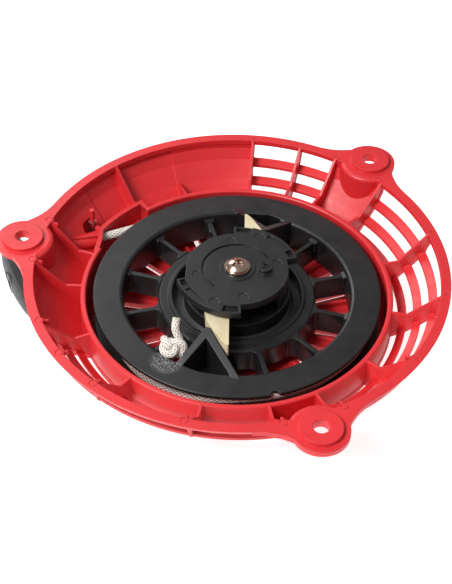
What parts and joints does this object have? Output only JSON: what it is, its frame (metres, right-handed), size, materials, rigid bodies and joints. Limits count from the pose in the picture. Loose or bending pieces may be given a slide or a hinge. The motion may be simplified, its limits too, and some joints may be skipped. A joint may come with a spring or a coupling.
{
  "type": "recoil starter",
  "caption": "Pull-cord recoil starter in a slotted plastic bowl, with a spring-loaded rope reel, ratchet pawls, a T-grip and fixing lugs.",
  "frame": {"origin": "centre of the circle of fixing holes, on the plane of the boss faces that meet the engine", "axes": "+Z along the reel's axis, out of the open side towards the engine; the rope leaves the case on the -X side"},
  "size_m": [0.2077, 0.2009, 0.0403],
  "materials": {
    "case_plastic": "satin moulded",
    "reel_plastic": "satin moulded",
    "guide_plastic": "satin moulded",
    "pawl_nylon": "satin moulded",
    "grip_plastic": "satin moulded",
    "cap_plastic": "satin moulded",
    "rope_cord": "braided",
    "sleeve_steel": "turned",
    "spring_steel": "oiled",
    "screw_zinc": "yellow zinc plated"
  },
  "bodies": {
    "case": {"starter_case": "case_plastic", "set_screw": "screw_zinc", "screw_washer": "screw_zinc", "rope_run": "rope_cord"},
    "sleeve": {"rope_guide_sleeve": "sleeve_steel"},
    "reel": {"reel": "reel_plastic", "rope_winding": "rope_cord", "rope_knot": "rope_cord", "return_spring": "spring_steel"},
    "guide": {"ratchet_guide": "guide_plastic", "friction_spring": "spring_steel"},
    "front_pawl": {"pawl_1": "pawl_nylon"},
    "back_pawl": {"pawl_2": "pawl_nylon"},
    "grip": {"grip": "grip_plastic", "grip_knot": "rope_cord", "grip_cap": "cap_plastic", "rope_stub": "rope_cord"}
  },
  "joints": [
    {"name": "reel_spin", "type": "hinge", "parent": "case", "child": "reel", "pos_m": [0, 0, -0.024], "axis": [0, 0, 1], "range_deg": [0, 1150], "stiffness_Nm_per_rad": 0.04, "springref_deg": -721.93},
    {"name": "handle_pull", "type": "slide", "parent": "case", "child": "grip", "axis": [-0.9205, -0.3907, 0], "range_m": [0, 1.235]},
    {"name": "sleeve_roll", "type": "hinge", "parent": "case", "child": "sleeve", "pos_m": [-0.0686, 0.0436, -0.02], "axis": [0, 0, 1], "continuous": true},
    {"name": "guide_turn", "type": "hinge", "parent": "reel", "child": "guide", "pos_m": [0, 0, -0.004], "axis": [0, 0, 1], "range_deg": [0, 30]},
    {"name": "front_pawl_swing", "type": "hinge", "parent": "reel", "child": "front_pawl", "pos_m": [-0.0095, -0.0175, -0.0105], "axis": [0, 0, 1], "range_deg": [0, 60.5]},
    {"name": "back_pawl_swing", "type": "hinge", "parent": "reel", "child": "back_pawl", "pos_m": [0.0095, 0.0175, -0.0105], "axis": [0, 0, 1], "range_deg": [0, 60.5]}
  ],
  "couplings": [
    {"joint": "handle_pull", "follows": "reel_spin", "m_per_rad": 0.0612},
    {"joint": "front_pawl_swing", "follows": "guide_turn", "ratio": 2},
    {"joint": "back_pawl_swing", "follows": "guide_turn", "ratio": 2}
  ]
}
